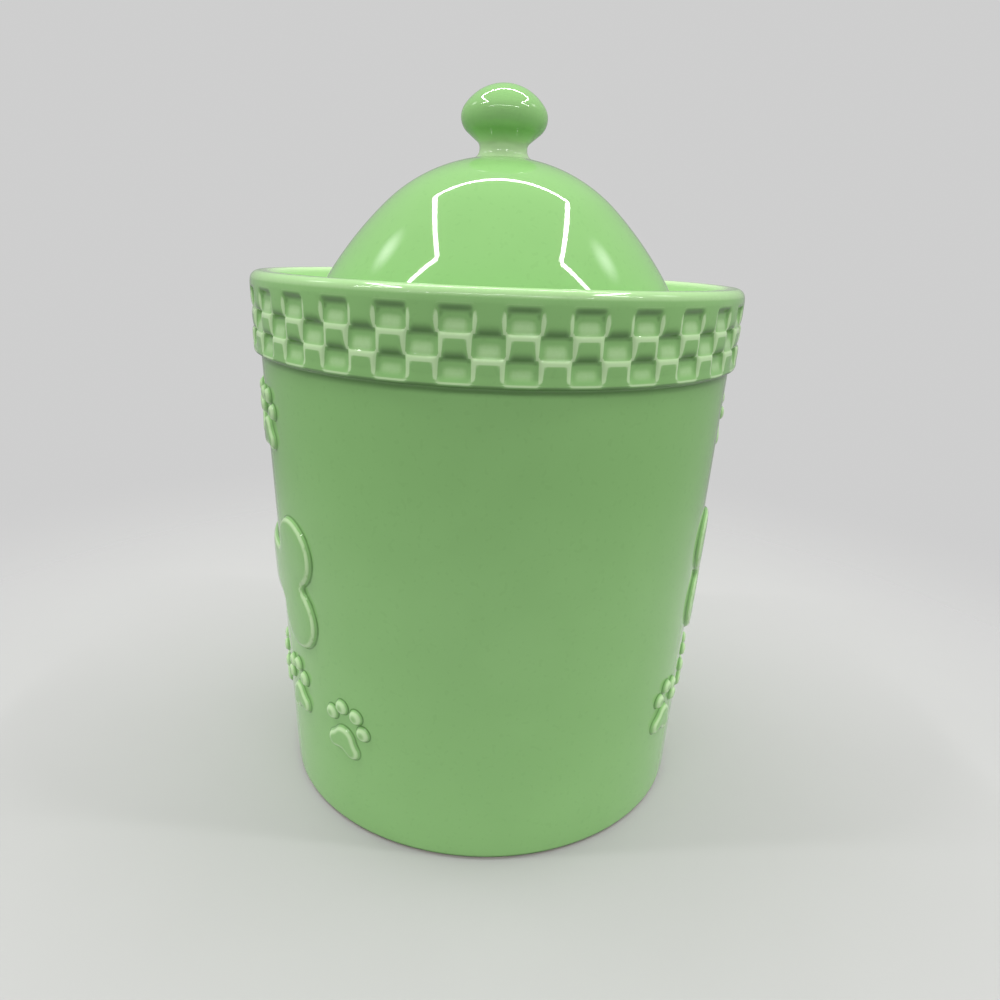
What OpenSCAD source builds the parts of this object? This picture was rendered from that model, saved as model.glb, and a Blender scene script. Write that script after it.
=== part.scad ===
// Dog treat canister: a slip-cast stoneware jar with a chequered band round its rim, raised
// bones and paw prints on two opposite sides, and a domed lid with a knob. The lid sits down
// inside the rim on a ledge, and a soft ring round its plug closes the throat.
// Millimetres. The jar stands on the origin, +Z is up and one side with motifs faces -Y.

/* [Jar] */
// Outer diameter over the band at the rim
rim_d = 165; // [156:1:180]
// Height of the jar from its foot to its rim
jar_h = 181.5; // [176:0.5:210]
// Outer diameter of the wall at the foot
foot_d = 149.2; // [142:0.2:156]
// Thickness of the wall at the foot
wall_t = 8; // [6:0.5:10]
// Thickness of the floor
floor_t = 8; // [6:0.5:12]
// Rounding between the inside of the wall and the floor
floor_fillet = 12; // [6:1:20]
// Rounding of the outer edge at the foot
foot_edge = 2; // [1:0.5:5]
// Width of the bare ring that the jar stands on
foot_ring_w = 6; // [4:0.5:10]
// Depth of the recess inside that ring
foot_recess = 1.6; // [1:0.2:3]

/* [Rim] */
// Height of the band round the rim
band_h = 25.2; // [22:0.2:32]
// Step from the wall out to the band
band_step = 2.3; // [1.6:0.1:3]
// Thickness of the rim round the lid
rim_t = 6.7; // [6:0.1:9]
// Rounding of the outer edge of the rim
rim_edge = 1.8; // [1:0.1:3.4]
// Rounding of the inner edge of the rim
rim_inner_edge = 2; // [1:0.1:3]
// Depth of the ledge that carries the lid, below the rim
gallery_h = 18.5; // [14:0.5:20]
// Width of the ledge
ledge_w = 4.2; // [3:0.1:6]
// Rounding of the inner edge of the ledge
ledge_edge = 1; // [0.5:0.1:1.5]
// Height of the straight throat below the ledge
throat_h = 16; // [14:0.5:24]

/* [Chequer] */
// Raised tiles round each row
chequer_n = 30; // [24:1:36]
// Rows of tiles
chequer_rows = 3; // [2:1:4]
// Plain strip between the rows and the top of the rim
strip_top = 5.1; // [4:0.1:6]
// Rounded strip between the rows and the bottom of the band
strip_low = 1.4; // [1:0.1:1.6]
// Depth of the hollows between the tiles
chequer_depth = 1.5; // [0.8:0.1:2]
// Space left between the feet of two tiles at a corner
tile_gap = 0.3; // [0.2:0.05:0.6]
// How far each side of a tile leans in from foot to face
tile_lean = 0.45; // [0.2:0.05:0.8]

/* [Motifs] */
// How far the motifs stand out from the wall
relief_h = 1.8; // [1:0.1:2.2]
// Height of the middle of the bone
bone_z = 84; // [78:0.5:90]
// Length of the bone round the wall
bone_l = 94; // [80:1:110]
// Radius of the bone's four knuckles
knuckle_r = 11.8; // [10:0.1:13]
// Height of each knuckle's middle above or below the bone's
knuckle_rise = 11.2; // [9:0.1:12]
// Height of the bone's shaft
shaft_h = 18; // [14:0.5:20]
// Height of the middle of the upper row of paw prints
upper_z = 136.5; // [130:0.5:140]
// Paw prints in the upper row
upper_n = 3; // [2:1:5]
// Distance between the paw prints of the upper row
upper_pitch = 21; // [20:0.5:26]
// Height of the middle of the lower row of paw prints
lower_z = 41.5; // [36:0.5:46]
// Paw prints in the lower row
lower_n = 5; // [3:1:6]
// Distance between the paw prints of the lower row
lower_pitch = 29; // [24:0.5:32]
// How far each lower print is shifted up or down in turn
lower_stagger = 2; // [0:0.1:4]
// Tilt of each lower print in turn
lower_tilt = 14; // [0:1:20]
// Radius of the upper lobe of a paw's pad
pad_r = 4.9; // [4:0.1:5.4]
// Distance of that lobe below the middle of the print
pad_drop = 3.8; // [3.4:0.1:4.4]
// Radius of the two lobes at the heel of the pad
heel_r = 3.7; // [3:0.1:4]
// Distance of the heel lobes from the paw's centre line
heel_x = 3.6; // [3:0.1:4.2]
// Distance of the heel lobes below the middle of the print
heel_drop = 6.5; // [6:0.1:7]
// Radius of a paw's toes
toe_r = 2.6; // [2:0.1:3]
// Distance of the outer toes from the paw's centre line
outer_toe_x = 6.9; // [6:0.1:7.4]
// Height of the outer toes above the middle of the print
outer_toe_z = 3; // [2.5:0.1:4]
// Distance of the inner toes from the paw's centre line
inner_toe_x = 3.1; // [2.9:0.1:3.4]
// Height of the inner toes above the middle of the print
inner_toe_z = 7.6; // [7:0.1:8.5]

/* [Lid] */
// Gap between the lid's flange and the rim
lid_gap = 0.8; // [0.4:0.1:1.2]
// Thickness of the flange that rests on the ledge
flange_t = 5; // [4:0.2:7]
// Rounding of the flange's upper edge
flange_edge = 1.6; // [0.6:0.1:2.4]
// Height of the dome above the ledge, under the knob
dome_h = 56.7; // [48:0.1:62]
// Thickness of the dome
dome_t = 5; // [4:0.2:7]
// Radius of the dome's crown
crown_r = 55.5; // [50:0.5:60]
// Angle from the middle at which the crown passes into the side
crown_angle = 44; // [38:0.5:48]
// Radius of the dome's flatter side
side_r = 128; // [105:1:155]
// Depth of the plug below the ledge
plug_h = 12; // [11:0.2:13]
// Thickness of the plug
plug_t = 7.5; // [6.5:0.1:8.5]
// Gap between the plug and the throat
plug_gap = 1; // [0.6:0.1:1.4]
// Rounding of the plug's lower edges
plug_edge = 1.5; // [0.5:0.1:2]

/* [Knob] */
// Diameter of the neck
neck_d = 15.8; // [12:0.2:18]
// Height of the neck's straight part
neck_h = 0.6; // [0.2:0.1:6]
// Fillet between the dome and the neck
neck_fillet = 3; // [1:0.2:5]
// Fillet between the neck and the knob
knob_fillet = 2.1; // [0.5:0.1:3]
// Diameter of the knob
knob_d = 28.4; // [26:0.2:34]
// Radius of the knob's rounded rim
knob_edge = 5.8; // [4.5:0.1:7]
// Height of the knob's top above the middle of its rim
knob_rise = 10.2; // [8.5:0.1:13]
// Slope of the knob's underside
knob_flare = 39; // [30:1:50]

/* [Seal] */
// Depth of the groove below the ledge
groove_drop = 3.2; // [2:0.1:4]
// Height of the groove
groove_h = 5; // [4:0.1:5.5]
// Depth of the groove
groove_d = 3; // [2:0.1:4]
// Gap round the seal, to its groove and to the throat
seal_gap = 0.3; // [0.2:0.05:0.4]
// Thickness of the seal's web at the bottom of the groove
seal_web = 1.4; // [1:0.1:1.8]
// Thickness of the two lips at their tips
lip_t = 0.9; // [0.6:0.1:1.2]

/* [Hidden] */
$fn = 128;
arc_steps = 8;
glaze = [0.55, 0.75, 0.48];
silicone = [0.90, 0.90, 0.87];

// Jar
rim_r = rim_d / 2;
foot_r = foot_d / 2;
band_z = jar_h - band_h;
wall_top_r = rim_r - band_step;
wall_lean = atan((wall_top_r - foot_r) / band_z);
foot_edge_r = wall_r(foot_edge) - foot_edge / cos(wall_lean);
foot_ring_r = foot_edge_r - foot_ring_w;
floor_z = foot_recess + floor_t;

// Rim, ledge and throat
gallery_r = rim_r - rim_t;
ledge_z = jar_h - gallery_h;
throat_r = gallery_r - ledge_w;
throat_z = ledge_z - throat_h;
inside_r = foot_r - wall_t;
inside_lean = atan((throat_r - inside_r) / (throat_z - floor_z));
fillet_r = inside_r + floor_fillet * tan(inside_lean) - floor_fillet / cos(inside_lean);

// Chequer
rows_z = band_z + strip_low;
rows_top_z = jar_h - strip_top;
row_h = (rows_top_z - rows_z) / chequer_rows;
hollow_r = rim_r - chequer_depth;
tile_pitch_angle = 360 / chequer_n;
tile_w = PI * hollow_r / chequer_n - tile_gap;
tile_sunk = tile_gap;
tile_inset = chequer_depth / 10;
tile_root = hollow_r - tile_sunk;
tile_face = rim_r - tile_inset;
root_spread = tile_lean * tile_sunk / (tile_face - hollow_r);

// Motifs
motif_sides = [0, 180];
motif_root = 2;
motif_over = 3;

// Lid: crown_z and side_c are the middles of the dome's two arcs. Outside, the dome ends on top of
// the flange, or at its edge if that is nearer. Inside, it ends at the plug. If the plug stands
// farther out than the dome, a shelf half way down the plug joins them.
flange_r = gallery_r - lid_gap;
flange_z = ledge_z + flange_t;
crown_z = ledge_z + dome_h - crown_r;
side_c = [0, crown_z] + (crown_r - side_r) * [sin(crown_angle), cos(crown_angle)];
flange_top_r = flange_r - flange_edge;
side_foot = asin((flange_z - side_c[1]) / side_r);
dome_r = side_c[0] + side_r * cos(side_foot);
side_end = dome_r > flange_top_r ? acos((flange_top_r - side_c[0]) / side_r) : side_foot;
plug_r = throat_r - plug_gap;
plug_in_r = plug_r - plug_t;
plug_z = ledge_z - plug_h;
inner_side_r = side_r - dome_t;
shelf_z = ledge_z - plug_h / 2;
inner_side_foot = asin((shelf_z - side_c[1]) / inner_side_r);
inner_dome_r = side_c[0] + inner_side_r * cos(inner_side_foot);
plug_outside = plug_in_r > inner_dome_r;
inner_side_end = plug_outside ? inner_side_foot : acos((plug_in_r - side_c[0]) / inner_side_r);
groove_z = ledge_z - groove_drop;
groove_r = plug_r - groove_d;

// Knob, from the dome upwards
neck_r = neck_d / 2;
knob_r = knob_d / 2;
neck_foot_angle = asin((neck_r + neck_fillet) / (crown_r + neck_fillet));
neck_z = crown_z + (crown_r + neck_fillet) * cos(neck_foot_angle);
neck_top_z = neck_z + neck_h;
knob_rim_c = knob_r - knob_edge;
flare_foot_r = neck_r + knob_fillet * (1 - sin(knob_flare));
flare_foot_z = neck_top_z + knob_fillet * cos(knob_flare);
flare_end_r = knob_rim_c + knob_edge * sin(knob_flare);
flare_rise = (flare_end_r - flare_foot_r) * tan(knob_flare);
knob_rim_z = flare_foot_z + flare_rise + knob_edge * cos(knob_flare);
knob_crown_r = (knob_rim_c ^ 2 + knob_rise ^ 2 - knob_edge ^ 2) / (2 * (knob_rise - knob_edge));
knob_crown_z = knob_rim_z + knob_rise - knob_crown_r;
knob_crown_angle = atan2(knob_rim_c, knob_rim_z - knob_crown_z);

// Seal
seal_in_r = groove_r + seal_gap;
seal_out_r = throat_r - seal_gap;
seal_z = groove_z - groove_h + seal_gap;
seal_h = groove_h - 2 * seal_gap;

// Radius of the outside of the wall at a height
function wall_r(z) = foot_r + (wall_top_r - foot_r) * z / band_z;

// Points of an arc, angles from +X towards +Y
function arc(centre, r, from, to) = [
    for (i = [0:arc_steps])
        let (a = from + (to - from) * i / arc_steps)
            centre + r * [cos(a), sin(a)]
];

// Half section of the jar: the foot, up the outside, over the rim and down the inside
function jar_section() = concat(
    [[0, foot_recess], [foot_ring_r - foot_recess, foot_recess], [foot_ring_r, 0]],
    arc([foot_edge_r, foot_edge], foot_edge, -90, -wall_lean),
    [[wall_top_r, band_z]],
    arc([rim_r - strip_low, rows_z], strip_low, -90, 0),
    [[hollow_r, rows_z], [hollow_r, rows_top_z], [rim_r, rows_top_z]],
    arc([rim_r - rim_edge, jar_h - rim_edge], rim_edge, 0, 90),
    arc([gallery_r + rim_inner_edge, jar_h - rim_inner_edge], rim_inner_edge, 90, 180),
    [[gallery_r, ledge_z]],
    arc([throat_r + ledge_edge, ledge_z - ledge_edge], ledge_edge, 90, 180),
    [[throat_r, throat_z]],
    arc([fillet_r, floor_z + floor_fillet], floor_fillet, -inside_lean, -90),
    [[0, floor_z]]
);

// One raised tile between two heights: a block whose free sides lean in towards its face
module tile(low, high, low_joins, high_joins) {
    low_root = low_joins ? low : low + tile_gap / 2 - root_spread;
    low_face = low_joins ? low : low + tile_gap / 2 + tile_lean;
    high_root = high_joins ? high : high - tile_gap / 2 + root_spread;
    high_face = high_joins ? high : high - tile_gap / 2 - tile_lean;
    root_w = tile_w / 2 + root_spread;
    face_w = tile_w / 2 - tile_lean;
    plan = [[-root_w, -tile_root], [-face_w, -tile_face], [face_w, -tile_face], [root_w, -tile_root]];
    side = [[tile_root, low_root], [tile_face, low_face], [tile_face, high_face], [tile_root, high_root]];
    intersection() {
        translate([0, 0, low - row_h])
            linear_extrude(3 * row_h)
                polygon(plan);
        rotate([90, 0, -90])
            linear_extrude(2 * tile_w, center = true)
                polygon(side);
    }
}

// All the tiles, each row half a pitch round from the next; the end rows join the strips
module chequer() {
    for (row = [0:chequer_rows - 1], i = [0:chequer_n - 1])
        rotate([0, 0, (i + (row + 1) % 2 / 2) * tile_pitch_angle])
            tile(rows_z + row * row_h, rows_z + (row + 1) * row_h, row == 0, row == chequer_rows - 1);
}

// A round stud square to the wall, at a distance round it from the middle of the side
module stud(along, z, r) {
    rotate([0, 0, along / wall_r(z) * 180 / PI])
        translate([0, -wall_r(z) + motif_root, z])
            rotate([90, 0, 0])
                cylinder(r = r, h = motif_root + relief_h + motif_over);
}

// One paw print: a pad of three lobes and four toes, turned by a tilt
module paw(along, z, tilt) {
    pads = [
        [0, -pad_drop, pad_r],
        [-heel_x, -heel_drop, heel_r],
        [heel_x, -heel_drop, heel_r],
        [-outer_toe_x, outer_toe_z, toe_r],
        [-inner_toe_x, inner_toe_z, toe_r],
        [inner_toe_x, inner_toe_z, toe_r],
        [outer_toe_x, outer_toe_z, toe_r]
    ];
    for (p = pads)
        stud(
            along + p[0] * cos(tilt) - p[1] * sin(tilt),
            z + p[0] * sin(tilt) + p[1] * cos(tilt),
            p[2]
        );
}

// A bone lying along the wall: a shaft with two knuckles at each end
module bone() {
    reach = bone_l / 2 - knuckle_r;
    half_angle = reach / wall_r(bone_z) * 180 / PI;
    rotate_extrude(angle = 2 * half_angle, start = -90 - half_angle)
        translate([wall_r(bone_z) - motif_root, bone_z - shaft_h / 2])
            square([motif_root + relief_h + motif_over, shaft_h]);
    for (end = [-1, 1], rise = [-1, 1])
        stud(end * reach, bone_z + rise * knuckle_rise, knuckle_r);
}

// The motifs of one side, cut to a skin that follows the wall
module motifs() {
    intersection() {
        union() {
            bone();
            for (i = [0:upper_n - 1])
                paw((i - (upper_n - 1) / 2) * upper_pitch, upper_z, 0);
            for (i = [0:lower_n - 1])
                let (along = (i - (lower_n - 1) / 2) * lower_pitch, turn = i % 2 * 2 - 1)
                    paw(along, lower_z + turn * lower_stagger, turn * lower_tilt);
        }
        rotate_extrude()
            polygon([
                [foot_r - motif_root / 2, 0],
                [foot_r + relief_h, 0],
                [wall_top_r + relief_h, band_z],
                [wall_top_r - motif_root / 2, band_z]
            ]);
    }
}

// The jar: one casting with its band, motifs, ledge and foot ring
module jar() {
    color(glaze)
        union() {
            rotate_extrude()
                polygon(jar_section());
            chequer();
            for (side = motif_sides)
                rotate([0, 0, side])
                    motifs();
        }
}

// Half section of the lid: the knob, down the dome, round flange and plug, and up the inside
function lid_section() = concat(
    arc([0, knob_crown_z], knob_crown_r, 90, 90 - knob_crown_angle),
    arc([knob_rim_c, knob_rim_z], knob_edge, 90 - knob_crown_angle, knob_flare - 90),
    arc([neck_r + knob_fillet, neck_top_z], knob_fillet, 90 + knob_flare, 180),
    arc([neck_r + neck_fillet, neck_z], neck_fillet, 180, 270 - neck_foot_angle),
    arc([0, crown_z], crown_r, 90 - neck_foot_angle, 90 - crown_angle),
    arc(side_c, side_r, 90 - crown_angle, side_end),
    arc([flange_top_r, flange_z - flange_edge], flange_edge, 90, 0),
    [[flange_r, ledge_z], [plug_r, ledge_z], [plug_r, groove_z], [groove_r, groove_z]],
    [[groove_r, groove_z - groove_h], [plug_r, groove_z - groove_h]],
    arc([plug_r - plug_edge, plug_z + plug_edge], plug_edge, 0, -90),
    arc([plug_in_r + plug_edge, plug_z + plug_edge], plug_edge, -90, -180),
    plug_outside ? [[plug_in_r, shelf_z]] : [],
    arc(side_c, inner_side_r, inner_side_end, 90 - crown_angle),
    arc([0, crown_z], crown_r - dome_t, 90 - crown_angle, 90)
);

// The lid: one casting, a hollow dome with its knob, flange and grooved plug
module lid() {
    color(glaze)
        rotate_extrude()
            polygon(lid_section());
}

// The seal: a ring with two lips, in the groove of the plug
module lid_seal() {
    mouth = [seal_z + lip_t, seal_z + seal_h - lip_t];
    color(silicone)
        rotate_extrude()
            polygon([
                [seal_in_r, seal_z],
                [seal_out_r, seal_z],
                [seal_out_r, mouth[0]],
                [seal_in_r + seal_web, seal_z + seal_h / 2],
                [seal_out_r, mouth[1]],
                [seal_out_r, seal_z + seal_h],
                [seal_in_r, seal_z + seal_h]
            ]);
}

jar();
lid();
lid_seal();
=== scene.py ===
# %% [markdown]
# # A dog treat canister in glazed stoneware
# The object is a jar with a chequered band round its rim, raised motifs on two sides, a domed lid
# that sits down inside the rim, and a soft seal round the lid's plug. The solids give the sizes and
# the places. Here each piece is modelled again with the soft edges that a thick glaze leaves.

# %% Open the frame
import math

import bmesh
import bpy
from mathutils import Matrix, Vector


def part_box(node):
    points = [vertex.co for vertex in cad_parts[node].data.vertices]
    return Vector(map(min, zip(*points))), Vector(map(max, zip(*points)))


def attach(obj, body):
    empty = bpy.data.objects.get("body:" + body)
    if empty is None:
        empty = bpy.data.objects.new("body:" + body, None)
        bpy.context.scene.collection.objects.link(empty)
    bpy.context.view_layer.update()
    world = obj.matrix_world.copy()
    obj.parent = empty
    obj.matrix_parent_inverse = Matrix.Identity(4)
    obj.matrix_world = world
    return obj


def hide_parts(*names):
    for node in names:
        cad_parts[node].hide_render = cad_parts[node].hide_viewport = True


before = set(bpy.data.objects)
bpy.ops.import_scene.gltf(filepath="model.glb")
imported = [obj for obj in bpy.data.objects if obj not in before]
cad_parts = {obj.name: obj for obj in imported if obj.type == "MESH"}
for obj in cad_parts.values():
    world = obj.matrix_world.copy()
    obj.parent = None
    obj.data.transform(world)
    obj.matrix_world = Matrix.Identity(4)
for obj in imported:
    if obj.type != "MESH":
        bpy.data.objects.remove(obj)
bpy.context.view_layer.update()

# %% [markdown]
# ## Sizes
# Lengths are written in millimetres and turned into metres by one factor. All sizes could be typed
# in, but the outer ones are read from the frame, so that the pieces made here are as large as the
# solids that they stand for. Most of the others are counted from those.

# %% Sizes of the jar
MM = 0.001
_, jar_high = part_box("jar")
lid_low, lid_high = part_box("lid")
seal_low, seal_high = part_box("lid_seal")

rim_r = jar_high.x
jar_h = jar_high.z
foot_r = 74.6 * MM
band_z = jar_h - 25.2 * MM
wall_top_r = rim_r - 2.3 * MM
gallery_r = rim_r - 6.7 * MM
ledge_z = jar_h - 18.5 * MM
throat_r = gallery_r - 4.2 * MM
throat_z = ledge_z - 16 * MM
floor_z = 9.6 * MM
print("jar is", round(2000 * rim_r, 1), "mm across and", round(1000 * jar_h, 1), "mm high")

# %% [markdown]
# ## Camera
# The picture was taken from close by and from a little above the rim, so the jar seems to taper more
# than it does. A long lens from farther off would be easier to aim, but only the same distance, tilt
# and focal length give the same perspective. The camera looks at the plain stretch between the two
# sides with motifs.

# %% Camera
camera_turn = math.radians(79.3)
camera_reach = 272.1 * MM
camera_height = 189.6 * MM
camera_tilt = math.radians(18.22)
camera_yaw = math.radians(0.76)
camera_roll = math.radians(2.34)
focal_length = 27.06
sensor_width = 36.0

camera_data = bpy.data.cameras.new("camera")
camera_data.lens = focal_length
camera_data.sensor_width = sensor_width
camera_data.clip_start = 10 * MM
camera_data.clip_end = 50.0
camera = bpy.data.objects.new("camera", camera_data)
bpy.context.scene.collection.objects.link(camera)
aim = Matrix.Rotation(camera_turn - camera_yaw, 4, "Z")
aim @= Matrix.Rotation(math.radians(90) - camera_tilt, 4, "X")
aim @= Matrix.Rotation(camera_roll, 4, "Z")
stand = Vector((
    camera_reach * math.sin(camera_turn),
    -camera_reach * math.cos(camera_turn),
    camera_height,
))
camera.matrix_world = Matrix.Translation(stand) @ aim
bpy.context.scene.camera = camera
print("camera stands at", [round(x * 1000) for x in stand])

# %% [markdown]
# ## Shader sums
# A glaze is a sum of many small effects. Written node by node such a sum is hard to read, so one
# small class wraps a shader output and lets it be added and multiplied like a number. Another adds
# nodes to the tree of a lamp or the world, and a third does so for a material.


# %% Shader helpers
class Shade:
    """A shader output that can be used in sums, as a number would be."""

    def __init__(self, nodes, output):
        self.nodes = nodes
        self.output = output

    def maths(self, operation, first, second=0.0):
        return self.nodes.get("ShaderNodeMath", 0, {"operation": operation}, {0: first, 1: second})

    def __add__(self, other):
        return self.maths("ADD", self, other)

    def __sub__(self, other):
        return self.maths("SUBTRACT", self, other)

    def __mul__(self, other):
        return self.maths("MULTIPLY", self, other)

    def __rsub__(self, other):
        return self.maths("SUBTRACT", other, self)

    __radd__ = __add__
    __rmul__ = __mul__


class Nodes:
    """A node tree, and the ways to add nodes to it."""

    def __init__(self, tree):
        self.tree = tree

    def node(self, kind, settings, inputs):
        made = self.tree.nodes.new(kind)
        for key, value in settings.items():
            setattr(made, key, value)
        for key, value in inputs.items():
            if isinstance(value, Shade):
                self.tree.links.new(value.output, made.inputs[key])
            else:
                made.inputs[key].default_value = value
        return made

    def get(self, kind, output, settings, inputs):
        return Shade(self, self.node(kind, settings, inputs).outputs[output])

    def ramp(self, value, low, high):
        """0 below low, 1 above high, and a smooth step between them."""
        inputs = {"Value": value, "From Min": low, "From Max": high}
        return self.get("ShaderNodeMapRange", 0, {"interpolation_type": "SMOOTHSTEP"}, inputs)

    def vector(self, operation, first, second=(0, 0, 0)):
        """The number that a vector sum gives."""
        return self.get("ShaderNodeVectorMath", "Value", {"operation": operation}, {0: first, 1: second})


class Finish(Nodes):
    """A material, and the nodes that only materials need."""

    def __init__(self, name):
        self.material = bpy.data.materials.new(name)
        self.material.use_nodes = True
        super().__init__(self.material.node_tree)
        self.tree.nodes.clear()

    def place(self):
        return self.get("ShaderNodeTexCoord", "Object", {}, {})

    def noise(self, size, detail=2.0, roughness=0.5):
        """Soft noise from 0 to 1, whose lumps are about as wide as size."""
        inputs = {"Vector": self.place(), "Scale": 1 / size, "Detail": detail, "Roughness": roughness}
        return self.get("ShaderNodeTexNoise", 0, {}, inputs)

    def mix(self, share, first, second):
        """A colour that goes from the first to the second as share goes from 0 to 1."""
        colours = {0: share}
        for key, colour in ((6, first), (7, second)):
            colours[key] = colour if isinstance(colour, Shade) else (*colour, 1.0)
        return self.get("ShaderNodeMix", 2, {"data_type": "RGBA"}, colours)

    def bump(self, height, distance):
        return self.get("ShaderNodeBump", 0, {}, {"Height": height, "Distance": distance, "Strength": 1.0})

    def show(self, inputs):
        shader = self.node("ShaderNodeBsdfPrincipled", {}, inputs)
        out = self.node("ShaderNodeOutputMaterial", {}, {})
        self.tree.links.new(shader.outputs[0], out.inputs["Surface"])
        print(self.material.name, "has", len(self.tree.nodes), "nodes")
        return self.material


# %% [markdown]
# ## The green glaze
# Glaze is runny in the kiln. It draws away from sharp edges, where the pale clay shines through, and
# it pools in corners, where it is thick and dark. Each piece carries an attribute called glaze that
# says how sharply its surface bends, in radians a millimetre: above 0 on edges and below 0 in
# corners. On the jar and the lid, painted light and painted shade are added to it on the band, under
# the band, in the well, round the neck and at the foot. The colour follows it, so there the pale edge
# colour is also painted light and the dark pool colour is also painted shade.
# Faint clouds and specks break up the even areas, and a very low bump makes reflections waver. The
# gloss comes from a clear coat alone, because the coloured layer under it has no surface of its own.

# %% Glaze
GLAZE_GREEN = (0.285, 0.565, 0.195)
GLAZE_CLOUD = (0.295, 0.580, 0.203)
# The edge colour is thin glaze and also painted light; the pool colour is pooled glaze and also painted
# shade.
GLAZE_EDGE_AND_LIGHT = (0.640, 0.880, 0.500)
GLAZE_POOL_AND_SHADE = (0.075, 0.205, 0.042)
GLAZE_SPECK = (0.220, 0.460, 0.145)


def green_glaze():
    paint = Finish("green_glaze")
    bend_and_painted_light = paint.get("ShaderNodeAttribute", "Fac", {"attribute_name": "glaze"}, {})
    clouds = paint.noise(28 * MM, 3.0)
    grain = paint.noise(1.1 * MM, 2.0)
    specks = paint.ramp(paint.noise(1.6 * MM, 0.0), 0.68, 0.76)
    wobble = paint.noise(9 * MM, 1.0)

    colour = paint.mix(paint.ramp(clouds, 0.35, 0.65), GLAZE_GREEN, GLAZE_CLOUD)
    colour = paint.mix(specks * 0.15, colour, GLAZE_SPECK)
    # Dark where the glaze pools, and painted shade where the attribute carries it.
    pooled_and_shade = paint.ramp(bend_and_painted_light * -1.0 + (grain - 0.5) * 0.06, 0.12, 1.20)
    colour = paint.mix(pooled_and_shade * 0.90, colour, GLAZE_POOL_AND_SHADE)
    # Pale where the glaze thins, and painted light where the attribute carries it.
    thin_and_lit = paint.ramp(bend_and_painted_light + (grain - 0.5) * 0.06, 0.10, 0.62)
    colour = paint.mix(thin_and_lit * 0.85, colour, GLAZE_EDGE_AND_LIGHT)

    return paint.show({
        "Base Color": colour,
        "Roughness": paint.ramp(grain, 0.2, 0.8) * 0.06 + 0.22,
        "Specular IOR Level": 0.0,
        "Coat Weight": 1.0,
        "Coat Roughness": 0.04,
        "Normal": paint.bump(wobble + grain * 0.04, 0.06 * MM),
    })


glaze = green_glaze()

# %% [markdown]
# ## Bare clay and silicone
# The jar stands on a ring that is wiped clean before firing, so that it doesn't stick to the kiln
# shelf, and so does the lid on the end of its plug. Both show the buff stoneware, rough and grainy.
# The seal is milky silicone with a satin surface. One noise at the scale of the grain would do for
# either, but clay has dark grit between its grains, so it gets a second one. Silicone has almost no
# grain: a little light passes under its surface, and dust dulls it in clouds.

# %% Clay and silicone
CLAY_BUFF = (0.560, 0.450, 0.310)
CLAY_DARK = (0.330, 0.240, 0.150)
SILICONE_WHITE = (0.760, 0.765, 0.730)
SILICONE_DULL = (0.660, 0.665, 0.625)


def bare_clay():
    paint = Finish("bare_clay")
    grain = paint.noise(0.9 * MM, 4.0, 0.65)
    grit = paint.ramp(paint.noise(1.4 * MM, 1.0), 0.60, 0.72)
    colour = paint.mix(grit * 0.55, CLAY_BUFF, CLAY_DARK)
    return paint.show({
        "Base Color": colour,
        "Roughness": grain * 0.15 + 0.75,
        "Normal": paint.bump(grain, 0.12 * MM),
    })


def milky_silicone():
    paint = Finish("milky_silicone")
    dust = paint.noise(6 * MM, 4.0, 0.6)
    return paint.show({
        "Base Color": paint.mix(paint.ramp(dust, 0.35, 0.70), SILICONE_WHITE, SILICONE_DULL),
        "Roughness": dust * 0.20 + 0.38,
        "Subsurface Weight": 0.15,
        "Subsurface Radius": (2 * MM, 2 * MM, 2 * MM),
        "Normal": paint.bump(paint.noise(0.6 * MM), 0.02 * MM),
    })


clay = bare_clay()
silicone = milky_silicone()

# %% [markdown]
# ## Turned shapes
# Jar, lid and seal are round, so each starts as a half section drawn with ruler and compass: straight
# lines, corners that a vertex bevel rounds, and arcs made by spinning one point. A full spin about
# the axis turns the section into the body. A Screw modifier would do the same, but a spun mesh has
# its points at hand for the next steps. Points on the axis come out once per step, so doubles are
# merged before the normals are made to face outwards.

# %% Half sections
WELD = 0.001 * MM


class Section:
    """A half section in the plane y = 0, drawn from point to point."""

    def __init__(self, r, z):
        self.mesh = bmesh.new()
        self.tip = self.mesh.verts.new((r, 0, z))
        self.corners = []

    def line(self, r, z, rounding=0.0, steps=6):
        """Draws to a point, which is rounded later if it has a rounding."""
        start = self.tip
        self.tip = self.mesh.verts.new((r, 0, z))
        self.mesh.edges.new((start, self.tip))
        if rounding:
            self.corners.append((self.tip, rounding, steps))

    def points(self, r, z, count):
        """Draws a straight run to a point, in several steps."""
        start = self.tip.co.copy()
        end = Vector((r, 0, z))
        for i in range(1, count + 1):
            place = start.lerp(end, i / count)
            self.line(place.x, place.z)

    def arc(self, centre_r, centre_z, degrees, steps):
        """Draws an arc about a centre; positive turns from up to outwards."""
        turned = bmesh.ops.spin(
            self.mesh,
            geom=[self.tip],
            cent=(centre_r, 0, centre_z),
            axis=(0, 1, 0),
            angle=math.radians(degrees),
            steps=steps,
        )
        self.tip = turned["geom_last"][0]

    def spin(self, steps):
        """Rounds the corners and turns the section into a closed body."""
        for corner, rounding, cuts in self.corners:
            bmesh.ops.bevel(
                self.mesh,
                geom=[corner],
                offset=rounding,
                offset_type="OFFSET",
                segments=cuts,
                profile=0.5,
                affect="VERTICES",
                material=-1,
            )
        bmesh.ops.spin(
            self.mesh,
            geom=self.mesh.verts[:] + self.mesh.edges[:],
            axis=(0, 0, 1),
            angle=math.tau,
            steps=steps,
            use_merge=True,
        )
        bmesh.ops.remove_doubles(self.mesh, verts=self.mesh.verts[:], dist=WELD)
        bmesh.ops.recalc_face_normals(self.mesh, faces=self.mesh.faces[:])
        return self.mesh


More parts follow.
